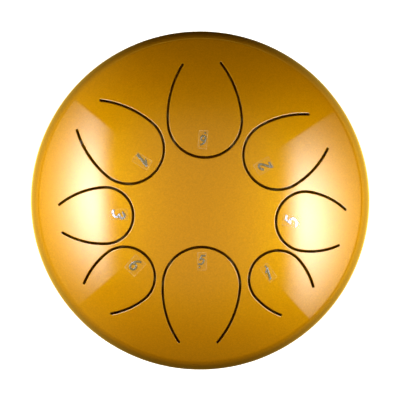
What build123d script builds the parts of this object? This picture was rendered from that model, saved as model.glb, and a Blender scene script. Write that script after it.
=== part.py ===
"""Eight-note steel tongue drum: domed top with cut-out note tongues on a pressed bowl.

Millimetres, +Z up, origin on the floor under the drum's axis. The tongue of the note marked
low 6 points to +Y.
"""

from build123d import *
from math import asin, cos, degrees, pi, radians, sin
import os

os.makedirs("parts", exist_ok=True)

# Steel shells
SHEET = 1.5
DRUM_R = 127.0
DOME_R = 205.0
SHOULDER_R = 20.0
SKIRT_H = 10.0
FOOT_H = 10.0
SEAM_Z = 66.0

# Bottom bowl: a flat base, a slack bend, then a tighter bend up to the wall
BEND_1_R = 70.0
BEND_1_END = 25.0
BEND_2_R = 50.0
HOLE_R = 25.0
COLLAR_BEND = 3.0
COLLAR_H = 6.5
NECK_GAP = 0.1
NECK_H = 8.0
JOGGLE_H = 2.2
GROOVE_H = 1.2
BEAD_PROUD = 0.5

# Note tongues
SLOT_W = 1.8
ROOT_GAP = 0.1

# Feet and their fasteners
FOOT_CIRCLE_R = 52.0
FOOT_ANGLES = [90.0, 210.0, 330.0]
FOOT_TOP_R = 11.0
FOOT_TIP_R = 9.4
FOOT_BORE_R = 2.25
RECESS_R = 4.8
RECESS_H = 5.0
WASHER_R = 4.5
WASHER_T = 0.8
SCREW_R = 2.0
SCREW_HEAD_R = 3.8
SCREW_HEAD_H = 2.4
NUT_FLATS = 7.0
NUT_H = 3.2
SCREW_LENGTH = 10.5

# Note labels: clear film with a silver foil numeral on it
FILM_T = 0.12
FOIL_T = 0.08
FILM_CORNER_R = 0.5
ITALIC_LEAN = 19.0

# name: tip-arc centre radius and bearing, bearing of the axis from tip to root,
# tip-arc radius, side-arc radius, length of the side slot on the left and on the right
TONGUES = {
    "low6": (57.9, 86.6, 93.2, 26.8, 78.0, 45.4, 45.1),
    "low5": (61.5, 270.9, 265.9, 28.0, 73.0, 44.7, 46.9),
    "1": (63.5, 144.0, 139.8, 25.3, 75.0, 41.3, 42.4),
    "2": (64.8, 30.3, 31.0, 24.8, 66.0, 38.0, 36.9),
    "3": (69.6, 189.0, 183.5, 20.5, 61.0, 34.9, 36.3),
    "5": (78.0, 348.8, 350.9, 21.7, 53.0, 30.3, 29.5),
    "6": (77.4, 225.4, 217.8, 21.6, 58.0, 26.9, 29.3),
    "high1": (80.2, 314.6, 312.0, 20.9, 52.0, 23.3, 22.8),
}

# name: centre x and y, bearing of the numeral's upright, film length and width, numeral, its height,
# its shift across and along the upright, the dot's place along the upright (0 for none)
LABELS = {
    "low6": (2.0, 43.9, 266.0, 13.4, 6.6, "6", 8.2, 0.3, 0.6, -5.0),
    "low5": (1.4, -43.8, 90.0, 13.0, 6.4, "5", 7.6, -0.3, 1.0, -4.4),
    "1": (-41.9, 28.4, 328.5, 13.0, 7.8, "1", 10.6, -0.9, -0.4, 0.0),
    "2": (45.9, 24.9, 210.0, 12.8, 8.9, "2", 9.6, -0.5, -0.8, 0.0),
    "3": (-59.0, -10.0, 0.0, 12.8, 7.9, "3", 10.0, 0.0, 0.0, 0.0),
    "5": (66.1, -14.9, 168.0, 12.8, 8.4, "5", 10.2, 0.0, 0.0, 0.0),
    "6": (-47.1, -47.1, 47.6, 12.8, 10.3, "6", 10.4, 0.0, 0.5, 0.0),
    "high1": (49.5, -52.3, 125.5, 12.9, 6.9, "1", 8.8, -0.4, -0.8, 4.6),
}
DOT_R = 0.75

# Derived heights
BASE_Z = FOOT_H
CREASE = asin((DRUM_R - SHOULDER_R) / (DOME_R - SHOULDER_R))
SHOULDER_Z = SEAM_Z + SKIRT_H
DOME_Z = SHOULDER_Z - (DOME_R - SHOULDER_R) * cos(CREASE)
BEND_2_X = DRUM_R - BEND_2_R
BEND_1_X = BEND_2_X - (BEND_1_R - BEND_2_R) * sin(radians(BEND_1_END))
BEND_1_Z = BASE_Z + BEND_1_R
BEND_2_Z = BEND_1_Z - (BEND_1_R - BEND_2_R) * cos(radians(BEND_1_END))
NECK_R = DRUM_R - SHEET - NECK_GAP
JOGGLE_Z = SEAM_Z - JOGGLE_H - GROOVE_H
# Where the joggle's inner corners lie, so that its wall keeps the sheet's thickness
JOGGLE_SLOPE = asin((DRUM_R - NECK_R) / ((DRUM_R - NECK_R) ** 2 + JOGGLE_H**2) ** 0.5)
JOGGLE_DROP = SHEET * (1 - cos(JOGGLE_SLOPE)) / sin(JOGGLE_SLOPE)


def on_arc(x, y, radius, angle):
    """Point at a radius and angle (degrees) from a centre."""
    return (x + radius * cos(radians(angle)), y + radius * sin(radians(angle)))


def arc(x, y, radius, start, end):
    """Arc between two angles (degrees) about a centre."""
    return ThreePointArc(
        on_arc(x, y, radius, start),
        on_arc(x, y, radius, (start + end) / 2),
        on_arc(x, y, radius, end),
    )


def turned(edges):
    """Solid of revolution about Z of a closed outline drawn as (radius, height)."""
    face = Plane.XZ * make_face(Wire(edges))
    return revolve(face, Axis.Z, 360)


def prism(edges, low, high):
    """Upright prism on a closed plan outline, between two heights."""
    return Pos(0, 0, low) * extrude(make_face(Wire(edges)), high - low, dir=(0, 0, 1))


def top_sheet():
    """Dome, shoulder and skirt of the top, before the notes are cut."""
    crease = 90 - degrees(CREASE)
    inner_dome = DOME_R - SHEET
    inner_shoulder = SHOULDER_R - SHEET
    shoulder_x = DRUM_R - SHOULDER_R
    inner_r = DRUM_R - SHEET
    return turned(
        [
            arc(0, DOME_Z, DOME_R, 90, crease),
            arc(shoulder_x, SHOULDER_Z, SHOULDER_R, crease, 0),
            Line((DRUM_R, SHOULDER_Z), (DRUM_R, SEAM_Z)),
            Line((DRUM_R, SEAM_Z), (inner_r, SEAM_Z)),
            Line((inner_r, SEAM_Z), (inner_r, SHOULDER_Z)),
            arc(shoulder_x, SHOULDER_Z, inner_shoulder, 0, crease),
            arc(0, DOME_Z, inner_dome, crease, 90),
            Line((0, DOME_Z + inner_dome), (0, DOME_Z + DOME_R)),
        ]
    )


def side_end(note, side, cut_back):
    """Angle (degrees) where a side arc ends. side is 1 on the left and -1 on the right."""
    axis, _, side_r, left, right = TONGUES[note][2:]
    length = left if side > 0 else right
    return axis + side * (90 - degrees((length - cut_back) / side_r))


def side_centre(note, side):
    """Centre of a side arc, which carries on from the tip arc without a corner."""
    centre_r, bearing, axis, tip_r, side_r = TONGUES[note][:5]
    x, y = on_arc(0, 0, centre_r, bearing)
    return on_arc(x, y, tip_r - side_r, axis + side * 90)


def side_arc(note, side, grow, cut_back):
    """Side arc of an outline, from the tip arc to the root."""
    axis, _, side_r = TONGUES[note][2:5]
    x, y = side_centre(note, side)
    return arc(x, y, side_r + grow, axis + side * 90, side_end(note, side, cut_back))


def tip_arc(note, grow):
    """Half circle round a tongue's tip, from its left to its right."""
    centre_r, bearing, axis, tip_r = TONGUES[note][:4]
    x, y = on_arc(0, 0, centre_r, bearing)
    return arc(x, y, tip_r + grow, axis + 90, axis + 270)


def root_point(note, side, grow, cut_back):
    """End of a side arc at the root."""
    side_r = TONGUES[note][4]
    x, y = side_centre(note, side)
    return on_arc(x, y, side_r + grow, side_end(note, side, cut_back))


def slot_end(note, side):
    """Half circle that closes a slot beyond its end."""
    x, y = root_point(note, side, 0, 0)
    end = side_end(note, side, 0)
    return arc(x, y, SLOT_W / 2, end, end - side * 180)


def tongue_outline(note):
    """Plan outline of a tongue, just clear of its root line."""
    inset = -SLOT_W / 2
    left = root_point(note, 1, inset, ROOT_GAP)
    right = root_point(note, -1, inset, ROOT_GAP)
    return [
        side_arc(note, 1, inset, ROOT_GAP),
        tip_arc(note, inset),
        side_arc(note, -1, inset, ROOT_GAP),
        Line(right, left),
    ]


def cutout_outline(note):
    """Plan outline of the slot and its tongue together."""
    outset = SLOT_W / 2
    left = root_point(note, 1, -outset, 0)
    right = root_point(note, -1, -outset, 0)
    return [
        side_arc(note, 1, outset, 0),
        tip_arc(note, outset),
        side_arc(note, -1, outset, 0),
        slot_end(note, -1),
        Line(right, left),
        slot_end(note, 1),
    ]


def top_shell():
    """Top sheet with the eight notes cut out."""
    shell = top_sheet()
    for note in TONGUES:
        shell -= prism(cutout_outline(note), SEAM_Z + 5, DOME_Z + DOME_R + 5)
    return shell


def tongue(note):
    """One note: the piece of the dome inside its slot."""
    return top_sheet() & prism(tongue_outline(note), SEAM_Z + 5, DOME_Z + DOME_R + 5)


def bottom_shell():
    """Pressed bowl with a joggled neck, an in-turned sound hole and three foot holes."""
    neck_top = SEAM_Z + NECK_H
    neck_foot = JOGGLE_Z + JOGGLE_H
    inner_r = DRUM_R - SHEET
    neck_inner_r = NECK_R - SHEET
    bend_x = HOLE_R + COLLAR_BEND
    bend_z = BASE_Z + COLLAR_BEND
    turn = BEND_1_END - 90
    bowl = turned(
        [
            Line((HOLE_R, BASE_Z + COLLAR_H), (HOLE_R, bend_z)),
            arc(bend_x, bend_z, COLLAR_BEND, 180, 270),
            Line((bend_x, BASE_Z), (BEND_1_X, BASE_Z)),
            arc(BEND_1_X, BEND_1_Z, BEND_1_R, -90, turn),
            arc(BEND_2_X, BEND_2_Z, BEND_2_R, turn, 0),
            Line((DRUM_R, BEND_2_Z), (DRUM_R, JOGGLE_Z)),
            Line((DRUM_R, JOGGLE_Z), (NECK_R, neck_foot)),
            Line((NECK_R, neck_foot), (NECK_R, neck_top)),
            Line((NECK_R, neck_top), (neck_inner_r, neck_top)),
            Line((neck_inner_r, neck_top), (neck_inner_r, neck_foot - JOGGLE_DROP)),
            Line((neck_inner_r, neck_foot - JOGGLE_DROP), (inner_r, JOGGLE_Z - JOGGLE_DROP)),
            Line((inner_r, JOGGLE_Z - JOGGLE_DROP), (inner_r, BEND_2_Z)),
            arc(BEND_2_X, BEND_2_Z, BEND_2_R - SHEET, 0, turn),
            arc(BEND_1_X, BEND_1_Z, BEND_1_R - SHEET, turn, -90),
            Line((BEND_1_X, BASE_Z + SHEET), (bend_x, BASE_Z + SHEET)),
            arc(bend_x, bend_z, COLLAR_BEND - SHEET, 270, 180),
            Line((HOLE_R + SHEET, bend_z), (HOLE_R + SHEET, BASE_Z + COLLAR_H)),
            Line((HOLE_R + SHEET, BASE_Z + COLLAR_H), (HOLE_R, BASE_Z + COLLAR_H)),
        ]
    )
    for angle in FOOT_ANGLES:
        x, y = on_arc(0, 0, FOOT_CIRCLE_R, angle)
        bowl -= Pos(x, y, BASE_Z) * Cylinder(FOOT_BORE_R, 10)
    return bowl


def seam_weld():
    """Bead that fills the groove between the skirt's edge and the joggle, and stands a little proud."""
    return turned(
        [
            ThreePointArc(
                (DRUM_R, JOGGLE_Z),
                (DRUM_R + BEAD_PROUD, (JOGGLE_Z + SEAM_Z) / 2),
                (DRUM_R, SEAM_Z),
            ),
            Line((DRUM_R, SEAM_Z), (NECK_R, SEAM_Z)),
            Line((NECK_R, SEAM_Z), (NECK_R, JOGGLE_Z + JOGGLE_H)),
            Line((NECK_R, JOGGLE_Z + JOGGLE_H), (DRUM_R, JOGGLE_Z)),
        ]
    )


def at_feet(piece):
    """The same piece under each of the three foot holes."""
    places = [on_arc(0, 0, FOOT_CIRCLE_R, angle) for angle in FOOT_ANGLES]
    return [Pos(x, y, 0) * piece for x, y in places]


def rubber_foot():
    """Tapered rubber bumper with a recess for the screw's head."""
    body = loft(
        [
            make_face(Circle(FOOT_TIP_R).edges()),
            Pos(0, 0, FOOT_H) * make_face(Circle(FOOT_TOP_R).edges()),
        ]
    )
    body = fillet(body.edges().sort_by(Axis.Z)[0], 1.4)
    body = fillet(body.edges().sort_by(Axis.Z)[-1], 0.6)
    body -= Pos(0, 0, RECESS_H / 2) * Cylinder(RECESS_R, RECESS_H)
    return body - Pos(0, 0, FOOT_H / 2) * Cylinder(FOOT_BORE_R, FOOT_H)


def outer_rims(piece):
    """Circular edges of the largest radius."""
    return piece.edges().filter_by(GeomType.CIRCLE).group_by(SortBy.RADIUS)[-1]


def foot_washer():
    """Flat washer at the top of the foot's recess."""
    plate = Cylinder(WASHER_R, WASHER_T) - Cylinder(FOOT_BORE_R, WASHER_T)
    plate = chamfer(outer_rims(plate), 0.12)
    return Pos(0, 0, RECESS_H - WASHER_T / 2) * plate


def foot_screw():
    """Pan-head screw with a cross recess, pointing up through the base."""
    head_top = RECESS_H - WASHER_T
    head = Pos(0, 0, head_top - SCREW_HEAD_H / 2) * Cylinder(SCREW_HEAD_R, SCREW_HEAD_H)
    head = fillet(head.edges().sort_by(Axis.Z)[0], 1.0)
    cross = Box(4.0, 0.9, 2.6) + Box(0.9, 4.0, 2.6)
    head -= Pos(0, 0, head_top - SCREW_HEAD_H) * cross
    shank = Pos(0, 0, head_top + SCREW_LENGTH / 2) * Cylinder(SCREW_R, SCREW_LENGTH)
    shank = chamfer(shank.edges().sort_by(Axis.Z)[-1], 0.4)
    return head + shank


def foot_nut():
    """Hexagon nut on the inside of the base."""
    body = extrude(RegularPolygon(NUT_FLATS / 2, 6, major_radius=False), NUT_H)
    corner_r = NUT_FLATS / 2 / cos(pi / 6)
    rounding = Pos(0, 0, NUT_H / 2) * Cylinder(corner_r, NUT_H)
    rounding = chamfer(outer_rims(rounding), 0.35)
    body = (body & rounding) - Cylinder(SCREW_R, 4 * NUT_H)
    return Pos(0, 0, BASE_Z + SHEET) * body


def dome_layer(low, high):
    """Thin shell of the dome's outer surface between two heights above it."""
    edge = 90 - 0.9 * degrees(CREASE)
    return turned(
        [
            arc(0, DOME_Z, DOME_R + high, 90, edge),
            Line(on_arc(0, DOME_Z, DOME_R + high, edge), on_arc(0, DOME_Z, DOME_R + low, edge)),
            arc(0, DOME_Z, DOME_R + low, edge, 90),
            Line((0, DOME_Z + DOME_R + low), (0, DOME_Z + DOME_R + high)),
        ]
    )


def upright_place(note):
    """Plan frame of a label: local Y is the numeral's upright."""
    x, y, upright = LABELS[note][:3]
    return Pos(x, y, 0) * Rot(0, 0, upright - 90)


def note_label(note):
    """Clear film on the tongue."""
    length, width = LABELS[note][3:5]
    outline = upright_place(note) * RectangleRounded(width, length, FILM_CORNER_R)
    block = Pos(0, 0, SEAM_Z + 5) * extrude(outline, DOME_R - SEAM_Z, dir=(0, 0, 1))
    return block & dome_layer(0, FILM_T)


def ribbon(points, start_w, end_w):
    """Pen stroke of even or tapering width along a smooth centre line."""
    centre = Spline(*points)
    count = 2 * len(points) - 1
    left = []
    right = []
    for i in range(count):
        share = i / (count - 1)
        half = (start_w + (end_w - start_w) * share) / 2
        place = centre @ share
        along = centre % share
        left.append((place.X - along.Y * half, place.Y + along.X * half))
        right.append((place.X + along.Y * half, place.Y - along.X * half))
    right.reverse()
    return make_face(
        Wire([Spline(*left), Line(left[-1], right[0]), Spline(*right), Line(right[-1], left[0])])
    )


def lean(x, y):
    """Slanted place of a point given as shares of the numeral's height."""
    return (x + (y - 0.5) * sin(radians(ITALIC_LEAN)), y - 0.5)


def leaned(points):
    return [lean(x, y) for x, y in points]


def numeral_1():
    outline = leaned(
        [
            (-0.09, 0),
            (0.13, 0),
            (0.13, 1),
            (-0.03, 1),
            (-0.23, 0.77),
            (-0.23, 0.6),
            (-0.09, 0.72),
        ]
    )
    return make_face(Polyline(*outline, close=True).edges())


def numeral_2():
    hook = leaned(
        [
            (-0.24, 0.68),
            (-0.17, 0.86),
            (0.03, 0.92),
            (0.2, 0.82),
            (0.18, 0.62),
            (-0.03, 0.35),
            (-0.14, 0.14),
        ]
    )
    bar = leaned([(-0.22, 0), (0.26, 0), (0.26, 0.18), (-0.24, 0.18)])
    return ribbon(hook, 0.18, 0.18) + make_face(Polyline(*bar, close=True).edges())


def numeral_3():
    upper = leaned(
        [
            (-0.25, 0.76),
            (-0.12, 0.9),
            (0.07, 0.91),
            (0.2, 0.77),
            (0.12, 0.6),
            (-0.06, 0.53),
        ]
    )
    lower = leaned(
        [
            (-0.06, 0.54),
            (0.16, 0.48),
            (0.25, 0.3),
            (0.14, 0.12),
            (-0.07, 0.08),
            (-0.18, 0.2),
        ]
    )
    return ribbon(upper, 0.17, 0.17) + ribbon(lower, 0.17, 0.18)


def numeral_5():
    flag = leaned([(-0.16, 0.82), (0.22, 0.82), (0.22, 1), (-0.2, 1)])
    stem = leaned([(-0.2, 1), (-0.02, 1), (-0.05, 0.47), (-0.24, 0.47)])
    bowl = leaned(
        [
            (-0.12, 0.56),
            (0.02, 0.59),
            (0.18, 0.51),
            (0.24, 0.32),
            (0.14, 0.13),
            (-0.05, 0.08),
            (-0.2, 0.16),
        ]
    )
    sketch = ribbon(bowl, 0.16, 0.18)
    sketch += make_face(Polyline(*flag, close=True).edges())
    return sketch + make_face(Polyline(*stem, close=True).edges())


def numeral_6():
    stem = leaned(
        [
            (0.05, 0.91),
            (-0.1, 0.84),
            (-0.2, 0.69),
            (-0.23, 0.49),
            (-0.2, 0.29),
        ]
    )
    bowl_x, bowl_y = lean(0, 0.3)
    bowl = Ellipse(0.28, 0.3) - Ellipse(0.12, 0.14)
    return ribbon(stem, 0.14, 0.17) + Pos(bowl_x, bowl_y, 0) * Rot(0, 0, -12) * bowl


NUMERALS = {"1": numeral_1, "2": numeral_2, "3": numeral_3, "5": numeral_5, "6": numeral_6}


def note_numeral(note):
    """Silver foil numeral on the film, with its octave dot."""
    numeral, height, across, along, dot = LABELS[note][5:]
    middle = upright_place(note) * Pos(across, 0, 0)
    sketch = middle * Pos(0, along, 0) * scale(NUMERALS[numeral](), by=height)
    if dot:
        sketch += middle * Pos(dot * sin(radians(ITALIC_LEAN)), dot, 0) * Circle(DOT_R)
    layer = dome_layer(FILM_T, FILM_T + FOIL_T)
    solids = []
    for face in sketch.faces():
        block = Pos(0, 0, SEAM_Z + 5) * extrude(face, DOME_R - SEAM_Z, dir=(0, 0, 1))
        solids += (block & layer).solids()
    return Compound(solids)


export_step(top_shell(), "parts/top_shell.step")
export_step(bottom_shell(), "parts/bottom_shell.step")
export_step(seam_weld(), "parts/seam_weld.step")

for number, foot in enumerate(at_feet(rubber_foot()), start=1):
    export_step(foot, f"parts/rubber_foot_{number}.step")
export_step(Compound(at_feet(foot_washer())), "parts/foot_washers.step")
export_step(Compound(at_feet(foot_screw())), "parts/foot_screws.step")
export_step(Compound(at_feet(foot_nut())), "parts/foot_nuts.step")

for note in TONGUES:
    export_step(tongue(note), f"parts/tongue_{note}.step")
    export_step(note_label(note), f"parts/label_{note}.step")
    export_step(note_numeral(note), f"parts/numeral_{note}.step")
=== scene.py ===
"""Looks of the gold steel tongue drum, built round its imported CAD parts."""

import math

import bpy
import numpy as np
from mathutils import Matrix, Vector
from mathutils.geometry import delaunay_2d_cdt


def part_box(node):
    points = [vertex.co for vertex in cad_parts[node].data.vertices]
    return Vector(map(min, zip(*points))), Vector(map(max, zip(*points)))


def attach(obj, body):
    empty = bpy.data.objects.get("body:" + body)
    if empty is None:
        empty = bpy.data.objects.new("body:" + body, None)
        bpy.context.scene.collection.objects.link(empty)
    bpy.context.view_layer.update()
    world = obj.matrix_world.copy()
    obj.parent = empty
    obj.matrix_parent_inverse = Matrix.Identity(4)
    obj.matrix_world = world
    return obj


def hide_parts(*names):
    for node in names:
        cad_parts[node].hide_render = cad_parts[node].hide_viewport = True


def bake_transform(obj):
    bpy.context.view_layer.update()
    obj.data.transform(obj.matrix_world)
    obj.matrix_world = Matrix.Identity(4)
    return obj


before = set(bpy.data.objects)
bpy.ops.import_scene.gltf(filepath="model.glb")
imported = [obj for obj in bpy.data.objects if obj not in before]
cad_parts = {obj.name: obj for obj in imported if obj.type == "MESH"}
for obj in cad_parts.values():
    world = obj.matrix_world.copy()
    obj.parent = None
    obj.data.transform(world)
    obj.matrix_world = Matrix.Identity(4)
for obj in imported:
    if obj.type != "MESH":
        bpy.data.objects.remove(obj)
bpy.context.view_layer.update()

MM = 0.001

# ---------------------------------------------------------------- sizes, in mm
SHELL_LOW, SHELL_HIGH = (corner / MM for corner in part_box("top_shell"))
DRUM_R = SHELL_HIGH.x
SEAM_Z = SHELL_LOW.z
SHEET = 1.5
DOME_R = 205.0
SHOULDER_R = 20.0
SKIRT_H = 10.0
DOME_Z = SHELL_HIGH.z - DOME_R
SHOULDER_X = DRUM_R - SHOULDER_R
SHOULDER_Z = SEAM_Z + SKIRT_H
CREASE = math.asin(SHOULDER_X / (DOME_R - SHOULDER_R))
SLOT_HALF = 0.9
EDGE_R = 0.15
ROLL_W = 0.35
ROLL_TURN = 24.0
EDGE_W = ROLL_W + EDGE_R * (1 - math.sin(math.radians(ROLL_TURN)))
JOIN_R = 117.0
LIP_R = 0.25

# Mesh steps, in mm and counts
AROUND = 240
SLOT_STEP = 1.1
CAP_STEPS = 8
ROOT_STEPS = 14
# Rows beside each slot: distance from its rounded edge, step along it, clear space kept round each point
SLOT_ROWS = ((1.0, 1.7, 0.8), (2.6, 2.8, 1.5), (5.2, 4.4, 2.8))
GRID_X, GRID_Y, GRID_CLEAR = 5.2, 4.5, 3.2
GRID_REACH = 30
RIM_CLEAR = 2.0
# Points of a row or grid: how many earlier ones each is compared with, and how near, per clear space
LAST_KEPT, NEAREST = 40, 0.7
# Steps round the slot's rolled edge and rounded edge, the rim's shoulder outside and inside, and its lip
ROLL_STEPS, ROUND_STEPS, SHOULDER_STEPS, INNER_STEPS, LIP_STEPS = 3, 3, 16, 12, 3

# note: tip-arc centre radius and bearing, bearing of the axis from tip to root,
# tip-arc radius, side-arc radius, length of the side slot on the left and on the right
TONGUES = {
    "low6": (57.9, 86.6, 93.2, 26.8, 78.0, 45.4, 45.1),
    "low5": (61.5, 270.9, 265.9, 28.0, 73.0, 44.7, 46.9),
    "1": (63.5, 144.0, 139.8, 25.3, 75.0, 41.3, 42.4),
    "2": (64.8, 30.3, 31.0, 24.8, 66.0, 38.0, 36.9),
    "3": (69.6, 189.0, 183.5, 20.5, 61.0, 34.9, 36.3),
    "5": (78.0, 348.8, 350.9, 21.7, 53.0, 30.3, 29.5),
    "6": (77.4, 225.4, 217.8, 21.6, 58.0, 26.9, 29.3),
    "high1": (80.2, 314.6, 312.0, 20.9, 52.0, 23.3, 22.8),
}


# ---------------------------------------------------------------- plan outlines
def on_arc(centre, radius, degrees):
    """Points at a radius and one or more angles from a centre."""
    turn = np.radians(np.asarray(degrees, float))
    return np.stack([centre[0] + radius * np.cos(turn), centre[1] + radius * np.sin(turn)], -1)


def side_centre(note, side):
    centre_r, bearing, axis, tip_r, side_r, left, right = TONGUES[note]
    return on_arc(on_arc((0, 0), centre_r, bearing), tip_r - side_r, axis + side * 90)


def side_end(note, side):
    """Bearing, from the side arc's centre, of the slot's end."""
    centre_r, bearing, axis, tip_r, side_r, left, right = TONGUES[note]
    length = left if side > 0 else right
    return axis + side * (90 - math.degrees(length / side_r))


def slot_line(note, grow, step=SLOT_STEP):
    """Points from the left root round the tip to the right root, at a distance outside the slot's line."""
    centre_r, bearing, axis, tip_r, side_r, left, right = TONGUES[note]
    tip = on_arc((0, 0), centre_r, bearing)
    left_angles = np.linspace(side_end(note, 1), axis + 90, int(left / step) + 1)[:-1]
    tip_angles = np.linspace(axis + 90, axis + 270, int(math.pi * tip_r / step) + 1)
    right_angles = np.linspace(axis - 90, side_end(note, -1), int(right / step) + 1)[1:]
    return np.concatenate(
        [
            on_arc(side_centre(note, 1), side_r + grow, left_angles),
            on_arc(tip, tip_r + grow, tip_angles),
            on_arc(side_centre(note, -1), side_r + grow, right_angles),
        ]
    )


def slot_cap(note, side, half, count=CAP_STEPS):
    """Points inside the half circle that closes a slot, from its outer edge to its inner edge."""
    side_r = TONGUES[note][4]
    end = side_end(note, side)
    angles = np.linspace(end, end - side * 180, count + 1)[1:-1]
    return on_arc(on_arc(side_centre(note, side), side_r, end), half, angles)


def slot_loop(note, half):
    """Closed loop round a slot: outer edge, right cap, inner edge back, left cap."""
    outer = slot_line(note, half)
    inner = slot_line(note, -half)[::-1]
    right_cap = slot_cap(note, -1, half)
    left_cap = slot_cap(note, 1, half)[::-1]
    return np.concatenate([outer, right_cap, inner, left_cap]), len(outer), len(right_cap)


def inside(points, loop):
    """Which points lie inside a closed loop."""
    x, y = points[:, 0][:, None], points[:, 1][:, None]
    ax, ay = loop[:, 0][None], loop[:, 1][None]
    bx, by = np.roll(loop[:, 0], -1)[None], np.roll(loop[:, 1], -1)[None]
    crosses = (ay > y) != (by > y)
    with np.errstate(divide="ignore", invalid="ignore"):
        at = ax + (y - ay) * (bx - ax) / (by - ay)
    return (np.sum(crosses & (x < at), axis=1) % 2) == 1


def distance(points, loop):
    """Distance from each point to the nearest point of a loop."""
    gap = points[:, None] - loop[None]
    return np.sqrt((gap**2).sum(-1).min(1))


def triangulate(points, edges):
    """Constrained triangles over points, as indices into points."""
    vectors = [Vector((float(p[0]), float(p[1]))) for p in points]
    verts, _, faces, origins, _, _ = delaunay_2d_cdt(vectors, edges, [], 0, 1e-5, True)
    first = [o[0] if o else -1 for o in origins]
    tris = np.array([[first[i] for i in f] for f in faces if len(f) == 3])
    tris = tris[(tris >= 0).all(1)]
    a, b, c = (points[tris[:, k]] for k in range(3))
    area = (b[:, 0] - a[:, 0]) * (c[:, 1] - a[:, 1]) - (b[:, 1] - a[:, 1]) * (c[:, 0] - a[:, 0])
    tris[area < 0] = tris[area < 0][:, ::-1]
    return tris[np.abs(area) > 1e-7]


# ---------------------------------------------------------------- the dome's surfaces
def on_dome(plan, lift=0.0):
    """Point above a plan point on the dome's outside, or lifted off it (below it if lift is negative)."""
    radius = DOME_R + lift
    z = DOME_Z + np.sqrt(radius**2 - (plan**2).sum(-1))
    return np.concatenate([plan, z[..., None]], -1)


def dome_normal(points):
    away = points - np.array([0, 0, DOME_Z])
    return away / np.linalg.norm(away, axis=-1, keepdims=True)


class Skin:
    """Gathers patches of faces with their own smooth normals, and joins them where they meet."""

    def __init__(self):
        self.points, self.normals, self.faces, self.looks = [], [], [], []
        self.count = 0

    def patch(self, points, normals, faces, look=0):
        points = np.asarray(points, float).reshape(-1, 3)
        normals = np.broadcast_to(np.asarray(normals, float), points.shape)
        self.points.append(points)
        self.normals.append(normals)
        self.faces += [[int(i) + self.count for i in face] for face in faces]
        self.looks += [look] * len(faces)
        self.count += len(points)

    def strip(self, first, second, first_normals, second_normals, closed, look=0):
        """Quads between two rows of points, turned to face the way of their normals."""
        n = len(first)
        last = n if closed else n - 1
        i = np.arange(last)
        j = (i + 1) % n
        points = np.concatenate([first, second])
        first_normals = np.broadcast_to(first_normals, first.shape)
        second_normals = np.broadcast_to(second_normals, second.shape)
        normals = np.concatenate([first_normals, second_normals])
        faces = np.stack([i, j, n + j, n + i], 1)
        a, b, c, d = (points[faces[:, k]] for k in range(4))
        turn = np.cross(c - a, d - b)
        if (turn * normals[faces].sum(1)).sum() < 0:
            faces = faces[:, ::-1]
        self.patch(points, normals, faces, look)

    def build(self, name, materials):
        points = np.concatenate(self.points)
        normals = np.concatenate(self.normals)
        _, keep, joined = np.unique(np.round(points, 4), axis=0, return_index=True, return_inverse=True)
        joined = joined.reshape(-1)
        faces, loops, looks = [], [], []
        for face, look in zip(self.faces, self.looks):
            corners = [joined[i] for i in face]
            if len(set(corners)) < len(corners):
                face = [i for k, i in enumerate(face) if corners[k] != corners[k - 1]]
                corners = [joined[i] for i in face]
            if len(set(corners)) < 3:
                continue
            faces.append([int(i) for i in corners])
            loops += [normals[i] for i in face]
            looks.append(look)
        mesh = bpy.data.meshes.new(name)
        mesh.from_pydata((points[keep] * MM).tolist(), [], faces)
        mesh.polygons.foreach_set("use_smooth", [True] * len(faces))
        mesh.polygons.foreach_set("material_index", looks)
        for material in materials:
            mesh.materials.append(material)
        mesh.normals_split_custom_set([tuple(n) for n in loops])
        mesh.validate()
        mesh.update()
        obj = bpy.data.objects.new(name, mesh)
        bpy.context.scene.collection.objects.link(obj)
        return obj


def rounding():
    """Cross-section of a punched edge, rolled over, then rounded: inset, depth, turn of the normal."""
    roll = math.radians(ROLL_TURN)
    roll_r = ROLL_W / math.sin(roll)
    rows = []
    for turn in np.linspace(0, roll, ROLL_STEPS + 1):
        rows.append((EDGE_W - roll_r * math.sin(turn), roll_r * (1 - math.cos(turn)), turn))
    depth = rows[-1][1]
    for turn in np.linspace(roll, math.pi / 2, ROUND_STEPS + 1)[1:]:
        inset = EDGE_R * (1 - math.sin(turn))
        rows.append((inset, depth + EDGE_R * (math.cos(roll) - math.cos(turn)), turn))
    return rows


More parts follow.
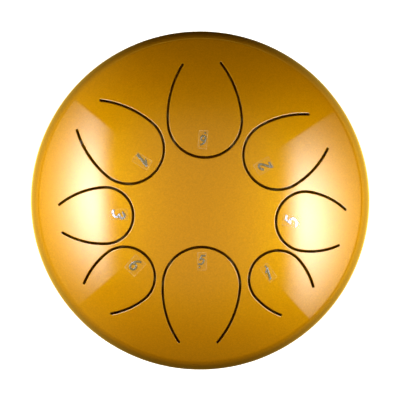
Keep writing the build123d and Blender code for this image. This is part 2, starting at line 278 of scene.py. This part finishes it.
# ---------------------------------------------------------------- the sheet with its slots
def plan_mesh():
    """Triangles of the dome in plan, and which piece each belongs to: 0 the shell, 1 on the tongues."""
    edge_half = SLOT_HALF + EDGE_W
    loops = {note: slot_loop(note, edge_half)[0] for note in TONGUES}
    ring = on_arc((0, 0), JOIN_R, np.arange(AROUND) * 360 / AROUND)
    points, edges = [ring], [(i, (i + 1) % AROUND) for i in range(AROUND)]
    total = AROUND
    roots = {}
    for note in TONGUES:
        loop, run, cap = slot_loop(note, edge_half)
        base = total
        points.append(loop)
        edges += [(base + i, base + (i + 1) % len(loop)) for i in range(len(loop))]
        total += len(loop)
        right, left = run + cap, run + cap + run - 1
        shares = np.linspace(0, 1, ROOT_STEPS + 1)[1:-1, None]
        line = loop[right] * (1 - shares) + loop[left] * shares
        points.append(line)
        chain = [base + right, *range(total, total + len(line)), base + left]
        edges += list(zip(chain[:-1], chain[1:]))
        total += len(line)
        roots[note] = np.concatenate([loop[right][None], line, loop[left][None]])
    fixed = np.concatenate(points)
    extra = []
    for off, step, clear in SLOT_ROWS:
        offsets = (edge_half + off, -edge_half - off)
        row = np.concatenate([slot_line(note, offset, step) for note in TONGUES for offset in offsets])
        extra.append((row, clear))
    rows = np.arange(-GRID_REACH, GRID_REACH + 1)
    grid = np.array([(GRID_X * (i + 0.5 * (j % 2)), GRID_Y * j) for j in rows for i in rows])
    extra.append((grid, GRID_CLEAR))
    taken = fixed
    for row, clear in extra:
        row = row[np.linalg.norm(row, axis=1) < JOIN_R - RIM_CLEAR]
        for loop in loops.values():
            row = row[~inside(row, loop)]
        row = row[distance(row, taken) > clear]
        kept = []
        for p in row:
            near = (NEAREST * clear) ** 2
            if all((p[0] - q[0]) ** 2 + (p[1] - q[1]) ** 2 > near for q in kept[-LAST_KEPT:]):
                kept.append(p)
        taken = np.concatenate([taken, np.array(kept)]) if kept else taken
    tris = triangulate(taken, edges)
    middle = taken[tris].mean(1)
    keep = np.linalg.norm(middle, axis=1) < JOIN_R
    piece = np.zeros(len(tris), int)
    for number, note in enumerate(TONGUES, start=1):
        keep &= ~inside(middle, loops[note])
        loop, run, cap = slot_loop(note, edge_half)
        inner = loop[run + cap : run + cap + run]
        piece[inside(middle, inner)] = number
    return taken, tris[keep], piece[keep], roots


def close_edge(skin, note, rows, closed):
    """Rounded edge, wall and inner margin along part of a slot. rows picks that part of the slot's loop."""
    steps = rounding()
    full = slot_loop(note, SLOT_HALF + EDGE_W)[0]
    wall = slot_loop(note, SLOT_HALF)[0]
    into_slot = wall - full
    into_slot = into_slot / np.linalg.norm(into_slot, axis=1, keepdims=True)
    into_slot = np.concatenate([into_slot, np.zeros((len(full), 1))], 1)[rows]
    previous = None
    for inset, depth, turn in steps:
        plan = slot_loop(note, SLOT_HALF + inset)[0][rows]
        top = on_dome(plan)
        normal = math.cos(turn) * dome_normal(top) + math.sin(turn) * into_slot
        normal /= np.linalg.norm(normal, axis=1, keepdims=True)
        row = top - np.array([0, 0, depth])
        if previous is not None:
            skin.strip(row, previous[0], normal, previous[1], closed)
        previous = (row, normal)
    low = on_dome(wall[rows], -SHEET)
    skin.strip(low, previous[0], into_slot, into_slot, closed)
    margin = on_dome(full[rows], -SHEET)
    skin.strip(margin, low, -dome_normal(margin), -dome_normal(low), closed)


def edge_profile(note, index):
    """The rounded edge's cross-section at one place of a slot, from the outside round to the inside."""
    section = []
    for inset, depth, _ in rounding():
        top = on_dome(slot_loop(note, SLOT_HALF + inset)[0][index])
        section.append(top - np.array([0, 0, depth]))
    wall = slot_loop(note, SLOT_HALF)[0][index]
    full = slot_loop(note, SLOT_HALF + EDGE_W)[0][index]
    return section + [on_dome(wall, -SHEET), on_dome(full, -SHEET)]


def root_wall(skin, note, root, facing_root):
    """Hidden face of the sheet along a tongue's root."""
    across = root[-1] - root[0]
    towards_root = np.array([across[1], -across[0], 0.0]) / np.linalg.norm(across)
    bearing = math.radians(TONGUES[note][2])
    if towards_root[0] * math.cos(bearing) + towards_root[1] * math.sin(bearing) < 0:
        towards_root = -towards_root
    normal = towards_root if facing_root else -towards_root
    outer, inner = on_dome(root), on_dome(root, -SHEET)
    loop, run, cap = slot_loop(note, SLOT_HALF + EDGE_W)
    sections = [edge_profile(note, run + cap), edge_profile(note, run + cap + run - 1)]
    skin.strip(inner, outer, normal, normal, False)
    for section in sections:
        points = np.array(section)
        skin.patch(points, normal, oriented(points, [list(range(len(points)))], normal))


def oriented(points, faces, normal):
    """Faces turned so that each one's own normal agrees with a given one."""
    turned = []
    for face in faces:
        loop = points[face]
        area = sum(np.cross(loop[k] - loop[0], loop[k + 1] - loop[0]) for k in range(1, len(face) - 1))
        turned.append(face if area @ normal > 0 else face[::-1])
    return turned


def shell_profile():
    """Outline of the shell's rim, from the dome's outside to its inside: radius, height and normal."""
    rows = []

    def arc(x, z, radius, start, end, count, out):
        for turn in np.linspace(start, end, count + 1):
            normal = (math.cos(turn) * out, math.sin(turn) * out)
            rows.append((x + radius * math.cos(turn), z + radius * math.sin(turn), *normal))

    crease = math.pi / 2 - CREASE
    join = math.acos(JOIN_R / DOME_R)
    inner_join = math.acos(JOIN_R / (DOME_R - SHEET))
    arc(0, DOME_Z, DOME_R, join, crease, 1, 1)
    arc(SHOULDER_X, SHOULDER_Z, SHOULDER_R, crease, 0, SHOULDER_STEPS, 1)
    rows.append((DRUM_R, SEAM_Z + LIP_R, 1, 0))
    arc(DRUM_R - LIP_R, SEAM_Z + LIP_R, LIP_R, 0, -math.pi / 2, LIP_STEPS, 1)
    rows.append((DRUM_R - SHEET, SEAM_Z, 0, -1))
    rows.append((DRUM_R - SHEET, SEAM_Z, -1, 0))
    rows.append((DRUM_R - SHEET, SHOULDER_Z, -1, 0))
    arc(SHOULDER_X, SHOULDER_Z, SHOULDER_R - SHEET, 0, crease, INNER_STEPS, -1)
    arc(0, DOME_Z, DOME_R - SHEET, crease, inner_join, 1, -1)
    return rows


def lathe(skin, profile):
    turn = np.arange(AROUND) * 2 * math.pi / AROUND
    ring = on_arc((0, 0), 1.0, np.degrees(turn))
    previous = None
    for radius, height, out, up in profile:
        points = np.concatenate([ring * radius, np.full((AROUND, 1), height)], 1)
        normals = np.concatenate([ring * out, np.full((AROUND, 1), up)], 1)
        if previous is not None and np.abs(points - previous[0]).max() > 1e-6:
            skin.strip(points, previous[0], normals, previous[1], True)
        previous = (points, normals)


def sheet_pieces(materials):
    """The top shell and the eight tongues as pieces that meet along the roots."""
    plan, tris, piece, roots = plan_mesh()
    outer, inner = on_dome(plan), on_dome(plan, -SHEET)
    made = {}
    for number, note in enumerate([None, *TONGUES]):
        skin = Skin()
        mine = tris[piece == number]
        skin.patch(outer, dome_normal(outer), mine)
        skin.patch(inner, -dome_normal(inner), mine[:, ::-1])
        if note is None:
            lathe(skin, shell_profile())
            for other in TONGUES:
                loop, run, cap = slot_loop(other, SLOT_HALF)
                rows = [*range(run + cap + run - 1, len(loop)), *range(0, run + cap + 1)]
                close_edge(skin, other, rows, False)
                root_wall(skin, other, roots[other], False)
            made["top_shell"] = skin.build("top_shell_sheet", materials)
        else:
            loop, run, cap = slot_loop(note, SLOT_HALF)
            close_edge(skin, note, list(range(run + cap, run + cap + run)), False)
            root_wall(skin, note, roots[note], True)
            made[note] = skin.build(f"tongue_{note}_sheet", materials)
    return made


# ---------------------------------------------------------------- note labels
# note: centre x and y, bearing of the numeral's upright, film length and width
FILMS = {
    "low6": (2.0, 43.9, 266.0, 13.4, 6.6),
    "low5": (1.4, -43.8, 90.0, 13.0, 6.4),
    "1": (-41.9, 28.4, 328.5, 13.0, 7.8),
    "2": (45.9, 24.9, 210.0, 12.8, 8.9),
    "3": (-59.0, -10.0, 0.0, 12.8, 7.9),
    "5": (66.1, -14.9, 168.0, 12.8, 8.4),
    "6": (-47.1, -47.1, 47.6, 12.8, 10.3),
    "high1": (49.5, -52.3, 125.5, 12.9, 6.9),
}
# Heights of the film's two faces above the dome, width of its rim band, cut-off at its corners
FILM_LOW, FILM_TOP, FILM_RIM, FILM_CUT = 0.02, 0.12, 0.28, 0.12
FILM_STEP = 1.2


def film(note, materials):
    """Clear film that follows the dome, with its cut rim as a band of its own."""
    x, y, upright, length, width = FILMS[note]
    turn = math.radians(upright - 90)
    across = np.array([math.cos(turn), math.sin(turn)])
    along = np.array([-math.sin(turn), math.cos(turn)])

    def ticks(size):
        reach = size / 2 - FILM_RIM
        middle = np.linspace(-reach, reach, max(5, int(size / FILM_STEP)))
        return np.concatenate([[-size / 2], middle, [size / 2]])

    us, vs = ticks(width), ticks(length)
    plan = np.zeros((len(vs), len(us), 2))
    for j, v in enumerate(vs):
        for i, u in enumerate(us):
            at_corner = abs(u) > width / 2 - 1e-6 and abs(v) > length / 2 - 1e-6
            pull = FILM_CUT if at_corner else 0.0
            sideways = across * (u - math.copysign(pull, u))
            lengthways = along * (v - math.copysign(pull, v))
            plan[j, i] = np.array([x, y]) + sideways + lengthways
    rows, columns = plan.shape[:2]
    flat = plan.reshape(-1, 2)
    quads, rims = [], []
    for j in range(rows - 1):
        for i in range(columns - 1):
            k = j * columns + i
            quad = [k, k + 1, k + columns + 1, k + columns]
            (rims if j in (0, rows - 2) or i in (0, columns - 2) else quads).append(quad)
    top, low = on_dome(flat, FILM_TOP), on_dome(flat, FILM_LOW)
    skin = Skin()
    skin.patch(top, dome_normal(top), quads, 0)
    skin.patch(top, dome_normal(top), rims, 1)
    skin.patch(low, -dome_normal(low), [q[::-1] for q in quads + rims], 0)
    border = [
        *range(0, columns),
        *range(2 * columns - 1, rows * columns, columns),
        *range(rows * columns - 2, (rows - 1) * columns - 1, -1),
        *range((rows - 2) * columns, 0, -columns),
    ]
    edge_top, edge_low = top[border], low[border]
    away = edge_top - top.mean(0)
    away /= np.linalg.norm(away, axis=1, keepdims=True)
    skin.strip(edge_low, edge_top, away, away, True, 1)
    return skin.build(f"label_{note}_film", materials)


# ---------------------------------------------------------------- materials
# Sizes in metres; noise and flake scales are cells to a metre
BODY_GOLD = (0.57, 0.215, 0.0)
FLAKE_GOLD = (0.58, 0.46, 0.0)
BODY_ROUGH, FLAKE_ROUGH = 0.66, 0.5
FLAKE_SHARE = 0.28
FLAKE_TILT = 0.25
FLAKE_SCALE = 1700.0
GRAIN, GRAIN_SCALE = 0.11, 800.0
# The lacquer darkens where it is seen at a slant
FLOP_FACING, FLOP_SHADE = (0.15, 0.62), 0.41
COAT_IOR, COAT_ROUGH = 1.69, 0.03
RIPPLE_SCALE, RIPPLE_STRENGTH, RIPPLE_DEPTH = 420.0, 0.03, 0.0001
WELD_SCALE, WELD_DEPTH = 260.0, 0.0006
FOIL_SCALE, FOIL_DEPTH, FOIL_ROUND = 650.0, 0.0003, 0.0006


class Nodes:
    """Short calls that add shader nodes to a tree."""

    def __init__(self, tree):
        self.tree = tree
        tree.nodes.clear()

    def add(self, kind, **settings):
        node = self.tree.nodes.new(kind)
        for key, value in settings.items():
            setattr(node, key, value)
        return node

    def join(self, node, socket, value):
        target = node.inputs[socket]
        if isinstance(value, bpy.types.NodeSocket):
            self.tree.links.new(value, target)
        elif hasattr(target.default_value, "__len__") and not hasattr(value, "__len__"):
            target.default_value = [value] * len(target.default_value)
        else:
            target.default_value = value

    def math(self, operation, first, second=0.0, third=0.0, clamp=False):
        node = self.add("ShaderNodeMath", operation=operation, use_clamp=clamp)
        for k, value in enumerate((first, second, third)):
            self.join(node, k, value)
        return node.outputs[0]

    def ramp(self, value, low, high, out_low=0.0, out_high=1.0, smooth=True):
        node = self.add("ShaderNodeMapRange", interpolation_type="SMOOTHSTEP" if smooth else "LINEAR")
        for k, item in enumerate((value, low, high, out_low, out_high)):
            self.join(node, k, item)
        return node.outputs[0]

    def mix(self, factor, first, second):
        node = self.add("ShaderNodeMix", data_type="RGBA")
        self.join(node, 0, factor)
        self.join(node, 6, first)
        self.join(node, 7, second)
        return node.outputs[2]

    def scale(self, colour, factor):
        node = self.add("ShaderNodeVectorMath", operation="SCALE")
        self.join(node, 0, colour)
        self.join(node, 3, factor)
        return node.outputs[0]

    def noise(self, scale, detail=2.0, roughness=0.5, vector=None, colour=False):
        node = self.add("ShaderNodeTexNoise")
        self.join(node, "Scale", scale)
        self.join(node, "Detail", detail)
        self.join(node, "Roughness", roughness)
        self.join(node, "Vector", vector or self.place())
        return node.outputs["Color" if colour else "Fac"]

    def place(self):
        if not hasattr(self, "_place"):
            self._place = self.add("ShaderNodeTexCoord").outputs["Object"]
        return self._place

    def bump(self, height, strength, depth, normal=None):
        node = self.add("ShaderNodeBump")
        self.join(node, "Height", height)
        self.join(node, "Strength", strength)
        self.join(node, "Distance", depth)
        if normal is not None:
            self.join(node, "Normal", normal)
        return node.outputs[0]

    def surface(self, **inputs):
        node = self.add("ShaderNodeBsdfPrincipled")
        for name, value in inputs.items():
            self.join(node, name.replace("_", " "), value)
        return node.outputs[0]

    def finish(self, shader):
        out = self.add("ShaderNodeOutputMaterial")
        self.tree.links.new(shader, out.inputs[0])


def material(name):
    made = bpy.data.materials.new(name)
    made.use_nodes = True
    return made, Nodes(made.node_tree)


def gold_paint():
    """Metallic gold lacquer: fine flakes, each turned its own way, under a clear gloss coat."""
    made, n = material("gold_paint")
    grain = n.ramp(n.noise(GRAIN_SCALE, 3.0, 0.7), 0.3, 0.7, 1.0 - GRAIN, 1.0 + GRAIN, False)
    facing = n.add("ShaderNodeLayerWeight").outputs["Facing"]
    tone = n.math("MULTIPLY", grain, n.ramp(facing, *FLOP_FACING, 1.0, FLOP_SHADE))
    flakes = n.add("ShaderNodeTexVoronoi", feature="F1")
    n.join(flakes, "Scale", FLAKE_SCALE)
    n.join(flakes, "Vector", n.place())
    tilt = n.add("ShaderNodeVectorMath", operation="SUBTRACT")
    n.join(tilt, 0, flakes.outputs["Color"])
    n.join(tilt, 1, (0.5, 0.5, 0.5))
    small = n.add("ShaderNodeVectorMath", operation="SCALE")
    n.join(small, 0, tilt.outputs[0])
    n.join(small, 3, FLAKE_TILT)
    sparkle = n.add("ShaderNodeVectorMath", operation="ADD")
    n.join(sparkle, 0, n.add("ShaderNodeNewGeometry").outputs["Normal"])
    n.join(sparkle, 1, small.outputs[0])
    normal = n.add("ShaderNodeVectorMath", operation="NORMALIZE")
    n.join(normal, 0, sparkle.outputs[0])
    coat = dict(Metallic=1.0, Coat_Weight=1.0, Coat_Roughness=COAT_ROUGH, Coat_IOR=COAT_IOR)
    coat["Coat_Normal"] = n.bump(n.noise(RIPPLE_SCALE, 1.0), RIPPLE_STRENGTH, RIPPLE_DEPTH)
    body = n.surface(Base_Color=n.scale(BODY_GOLD, tone), Roughness=BODY_ROUGH, **coat)
    flake_colour = n.scale(FLAKE_GOLD, tone)
    flake_normal = normal.outputs[0]
    flake = n.surface(Base_Color=flake_colour, Roughness=FLAKE_ROUGH, Normal=flake_normal, **coat)
    blend = n.add("ShaderNodeMixShader")
    n.join(blend, 0, FLAKE_SHARE)
    n.tree.links.new(body, blend.inputs[1])
    n.tree.links.new(flake, blend.inputs[2])
    n.finish(blend.outputs[0])
    return made


def weld_paint():
    """The same lacquer over the ripples of a weld bead."""
    made, n = material("gold_paint_weld")
    ripple = n.noise(WELD_SCALE, 2.0)
    n.finish(
        n.surface(
            Base_Color=n.mix(ripple, (0.62, 0.29, 0.006, 1), (0.9, 0.45, 0.012, 1)),
            Metallic=1.0,
            Roughness=0.45,
            Normal=n.bump(ripple, 0.5, WELD_DEPTH),
            Coat_Weight=1.0,
            Coat_Roughness=0.08,
        )
    )
    return made


def black_rubber():
    made, n = material("black_rubber")
    speck = n.noise(900.0, 3.0)
    n.finish(
        n.surface(
            Base_Color=n.mix(speck, (0.012, 0.012, 0.013, 1), (0.035, 0.034, 0.033, 1)),
            Roughness=n.ramp(n.noise(60.0), 0.3, 0.7, 0.6, 0.8),
            Normal=n.bump(speck, 0.3, 0.0002),
        )
    )
    return made


def zinc_steel():
    made, n = material("zinc_steel")
    spangle = n.noise(500.0, 2.0)
    n.finish(
        n.surface(
            Base_Color=n.mix(spangle, (0.5, 0.51, 0.53, 1), (0.68, 0.68, 0.7, 1)),
            Metallic=1.0,
            Roughness=n.ramp(spangle, 0.3, 0.7, 0.25, 0.4),
            Normal=n.bump(spangle, 0.15, 0.0001),
        )
    )
    return made


def clear_film(rim):
    """Thin clear sticker film. Its cut rim is milky and shows as a fine pale line."""
    made, n = material("film_rim" if rim else "clear_film")
    streak = n.noise(300.0, 2.0)
    haze = n.surface(
        Base_Color=n.mix(streak, (0.9, 0.75, 0.4, 1), (1.0, 0.88, 0.6, 1)) if rim else (0.9, 0.72, 0.35, 1),
        Roughness=0.25,
        Coat_Weight=0.5,
        Coat_Roughness=0.05,
    )
    blend = n.add("ShaderNodeMixShader")
    share = n.ramp(streak, 0.3, 0.7, 0.17, 0.3) if rim else n.ramp(streak, 0.3, 0.7, 0.01, 0.035)
    n.join(blend, 0, share)
    n.tree.links.new(n.add("ShaderNodeBsdfTransparent").outputs[0], blend.inputs[1])
    n.tree.links.new(haze, blend.inputs[2])
    n.finish(blend.outputs[0])
    return made


def silver_foil():
    """Silver foil with softly rounded stroke edges, which catch the softboxes."""
    made, n = material("silver_foil")
    crinkle = n.noise(FOIL_SCALE, 2.0)
    rounded = n.add("ShaderNodeBevel", samples=8)
    n.join(rounded, "Radius", FOIL_ROUND)
    n.finish(
        n.surface(
            Base_Color=n.mix(crinkle, (0.27, 0.28, 0.37, 1), (0.47, 0.48, 0.59, 1)),
            Metallic=1.0,
            Roughness=n.ramp(crinkle, 0.3, 0.7, 0.12, 0.22),
            Normal=n.bump(crinkle, 0.4, FOIL_DEPTH, rounded.outputs[0]),
        )
    )
    return made


GOLD = gold_paint()
WELD = weld_paint()
RUBBER = black_rubber()
ZINC = zinc_steel()
FOIL = silver_foil()
FILM = [clear_film(False), clear_film(True)]


def dress(node, made):
    """Gives a CAD node one material on every slot."""
    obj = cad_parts[node]
    if not obj.material_slots:
        obj.data.materials.append(made)
    for slot in obj.material_slots:
        slot.material = made


for node, made in (
    ("bottom_shell", GOLD),
    ("seam_weld", WELD),
    ("foot_washers", ZINC),
    ("foot_screws", ZINC),
    ("foot_nuts", ZINC),
    ("rubber_foot_1", RUBBER),
    ("rubber_foot_2", RUBBER),
    ("rubber_foot_3", RUBBER),
):
    dress(node, made)

pieces = sheet_pieces([GOLD])
shell = pieces.pop("top_shell")
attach(shell, "drum")
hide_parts("top_shell")

for note, piece in pieces.items():
    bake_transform(piece)
    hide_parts(f"tongue_{note}")
    label = film(note, FILM)
    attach(label, f"tongue_{note}")
    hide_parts(f"label_{note}")
    dress(f"numeral_{note}", FOIL)

# ---------------------------------------------------------------- floor, studio and camera
BOX_LIGHT = 10.8
BOX_SPREAD, BOX_LEAST_SPREAD = 0.6, 0.3
BOX_EDGE = 0.02
# A softbox, in units of its distance along x. centre: its bright middle along y. lean: how far that
# shifts for each unit lower down. low_width, high_width: the light's fall-off towards -y and +y.
# edges: the panel's ends along y. rises: height of the bright middle, fall-off below it and above it.
LEFT_BOX = dict(
    centre=0.0, lean=0.45, low_width=0.6, high_width=0.57, edges=(-0.86, 0.8), rises=(0.86, 0.34, 0.235)
)
RIGHT_BOX = dict(
    centre=-0.18, lean=-0.5, low_width=0.54, high_width=0.6, edges=(-1.08, 0.66), rises=(0.885, 0.41, 0.26)
)
# Fill light, as ramps: where one starts and ends, then its level at the start and at the end
OVERHEAD_BY_Z, OVERHEAD_BY_Y = (0.4, 0.85, 0.0, 0.64), (0.45, 0.9, 1.0, 0.0)
FRONT_BY_Y, FRONT_BY_Z = (-0.9, 0.0, 0.25, 0.0), (0.0, 0.3)
LEFT_BY_X, LEFT_BY_Z = (-0.9, -0.3, 0.8, 0.0), (0.15, 0.6, 1.0, 0.0)
SKYLINE_BY_Z, SKYLINE_BY_Y = (0.0, 0.04, 2.4, 0.0), (0.6, 0.95)
LOW_TINT, HIGH_TINT = (1.0, 0.74, 0.1, 1), (1.0, 0.8, 0.34, 1)
TINT_BY_Z = (0.6, 1.0)
# Painted bounce light: the table's glow as the drum sees it, strong at the sides, weak in front, none
# behind, with its tint and how tightly it gathers to the sides. The camera sees only an even grey glow.
TABLE_GLOW_SIDES, TABLE_GLOW_FRONT, TABLE_GLOW_BACK = 2.5, 0.2, 0.0
TABLE_GLOW_FOCUS = 1.5
TABLE_GLOW_TINT = (1.0, 0.66, 0.08)
TABLE_SEEN = (0.6, 0.6, 0.6, 1)
TABLE_HALF = 12.0
LENS, SENSOR = 142.56, 36.0
CAMERA_X, CAMERA_Y, CAMERA_ABOVE_SEAM = -0.0001, 0.0004, 1.2


def floor_paint():
    """Pale table. The drum gets no real bounce from it, only a painted glow of softbox light, brighter at
    the sides.
    """
    made, n = material("floor")
    seen = n.add("ShaderNodeLightPath").outputs["Is Camera Ray"]
    way = n.add("ShaderNodeSeparateXYZ")
    n.join(way, 0, n.place())
    x, y, z = way.outputs
    x2, y2 = n.math("MULTIPLY", x, x), n.math("MULTIPLY", y, y)
    sideways = n.math("DIVIDE", x2, n.math("ADD", n.math("ADD", x2, y2), 0.0001))
    # Painted bounce light from the softboxes: glow strong at the sides, weak in front, none behind, in
    # place of real bounce.
    ahead = n.math("MULTIPLY_ADD", n.math("LESS_THAN", y, 0.0), TABLE_GLOW_FRONT - TABLE_GLOW_BACK, TABLE_GLOW_BACK)
    beside = n.math("MULTIPLY", n.math("POWER", sideways, TABLE_GLOW_FOCUS), TABLE_GLOW_SIDES)
    lengthways = n.math("MULTIPLY", n.math("SUBTRACT", 1.0, sideways), ahead)
    glow = n.math("ADD", beside, lengthways)
    pale = n.mix(n.noise(3.0), (0.86, 0.86, 0.86, 1), (0.9, 0.9, 0.9, 1))
    n.finish(
        n.surface(
            Base_Color=n.mix(seen, (0, 0, 0, 1), pale),
            Roughness=0.9,
            Specular_IOR_Level=0.0,
            Emission_Color=n.mix(seen, n.scale(TABLE_GLOW_TINT, glow), TABLE_SEEN),
            Emission_Strength=1.0,
        )
    )
    return made


def add_floor():
    mesh = bpy.data.meshes.new("floor")
    half = TABLE_HALF
    corners = [(-half, -half, 0), (half, -half, 0), (half, half, 0), (-half, half, 0)]
    mesh.from_pydata(corners, [], [(0, 1, 2, 3)])
    mesh.materials.append(floor_paint())
    floor = bpy.data.objects.new("floor", mesh)
    bpy.context.scene.collection.objects.link(floor)


def studio():
    """Pale studio with a tall softbox on each side. Directions, not places: the boxes stand far off."""
    world = bpy.data.worlds.new("studio")
    bpy.context.scene.world = world
    world.use_nodes = True
    n = Nodes(world.node_tree)
    way = n.add("ShaderNodeSeparateXYZ")
    n.join(way, 0, n.add("ShaderNodeTexCoord").outputs["Generated"])
    x, y, z = way.outputs
    side = n.math("MAXIMUM", n.math("ABSOLUTE", x), 0.001)
    level = n.math("DIVIDE", y, side)
    rise = n.math("DIVIDE", z, side)
    right = n.math("GREATER_THAN", x, 0.0)

    def bell(value, centre, low_width, high_width):
        """Bell curve round a centre, with its own width on each side."""
        off = n.math("SUBTRACT", value, centre)
        above = n.math("DIVIDE", off, high_width)
        below = n.math("DIVIDE", off, n.math("MULTIPLY", low_width, -1.0))
        wide = n.math("MAXIMUM", above, below)
        return n.math("EXPONENT", n.math("MULTIPLY", n.math("MULTIPLY", wide, wide), -1.0))

    def window(value, low, high, soft):
        rising = n.ramp(value, low - soft, low + soft)
        return n.math("MULTIPLY", rising, n.ramp(value, high - soft, high + soft, 1.0, 0.0))

    def softbox(on_side, centre, lean, low_width, high_width, edges, rises):
        """One panel. Its bright middle leans along the panel and widens towards the floor."""
        drop = n.math("SUBTRACT", rises[0], rise)
        middle = n.math("MULTIPLY_ADD", drop, lean, centre)
        spread = n.math("MAXIMUM", n.math("MULTIPLY_ADD", drop, BOX_SPREAD, 1.0), BOX_LEAST_SPREAD)
        low_reach = n.math("MULTIPLY", spread, low_width)
        high_reach = n.math("MULTIPLY", spread, high_width)
        across = bell(level, middle, low_reach, high_reach)
        light = n.math("MULTIPLY", across, bell(rise, *rises))
        light = n.math("MULTIPLY", light, window(level, *edges, BOX_EDGE))
        light = n.math("MULTIPLY", light, n.ramp(rise, 0.0, 0.25))
        return n.math("MULTIPLY", n.math("MULTIPLY", light, on_side), BOX_LIGHT)

    left = n.math("SUBTRACT", 1.0, right)
    boxes = n.math("ADD", softbox(left, **LEFT_BOX), softbox(right, **RIGHT_BOX))
    overhead = n.math("MULTIPLY", n.ramp(z, *OVERHEAD_BY_Z), n.ramp(y, *OVERHEAD_BY_Y))
    front = n.math("MULTIPLY", n.ramp(y, *FRONT_BY_Y), n.ramp(z, *FRONT_BY_Z))
    beside = n.math("MULTIPLY", n.ramp(x, *LEFT_BY_X), n.ramp(z, *LEFT_BY_Z))
    skyline = n.math("MULTIPLY", n.ramp(z, *SKYLINE_BY_Z), n.ramp(y, *SKYLINE_BY_Y))
    fill = n.math("ADD", n.math("ADD", overhead, front), n.math("ADD", beside, skyline))
    tint = n.mix(n.ramp(z, *TINT_BY_Z), LOW_TINT, HIGH_TINT)
    light = n.add("ShaderNodeVectorMath", operation="ADD")
    n.join(light, 0, n.scale(tint, fill))
    n.join(light, 1, n.scale((1, 1, 1), boxes))
    seen = n.add("ShaderNodeLightPath").outputs["Is Camera Ray"]
    background = n.add("ShaderNodeBackground")
    n.join(background, "Color", n.mix(seen, light.outputs[0], (1, 1, 1, 1)))
    out = n.add("ShaderNodeOutputWorld")
    n.tree.links.new(background.outputs[0], out.inputs[0])


def add_camera():
    data = bpy.data.cameras.new("camera")
    data.sensor_width = SENSOR
    data.lens = LENS
    camera = bpy.data.objects.new("camera", data)
    camera.location = (CAMERA_X, CAMERA_Y, SEAM_Z * MM + CAMERA_ABOVE_SEAM)
    data.clip_end = 50.0
    bpy.context.scene.collection.objects.link(camera)
    bpy.context.scene.camera = camera


add_floor()
studio()
add_camera()
bpy.context.scene.view_settings.view_transform = "Standard"
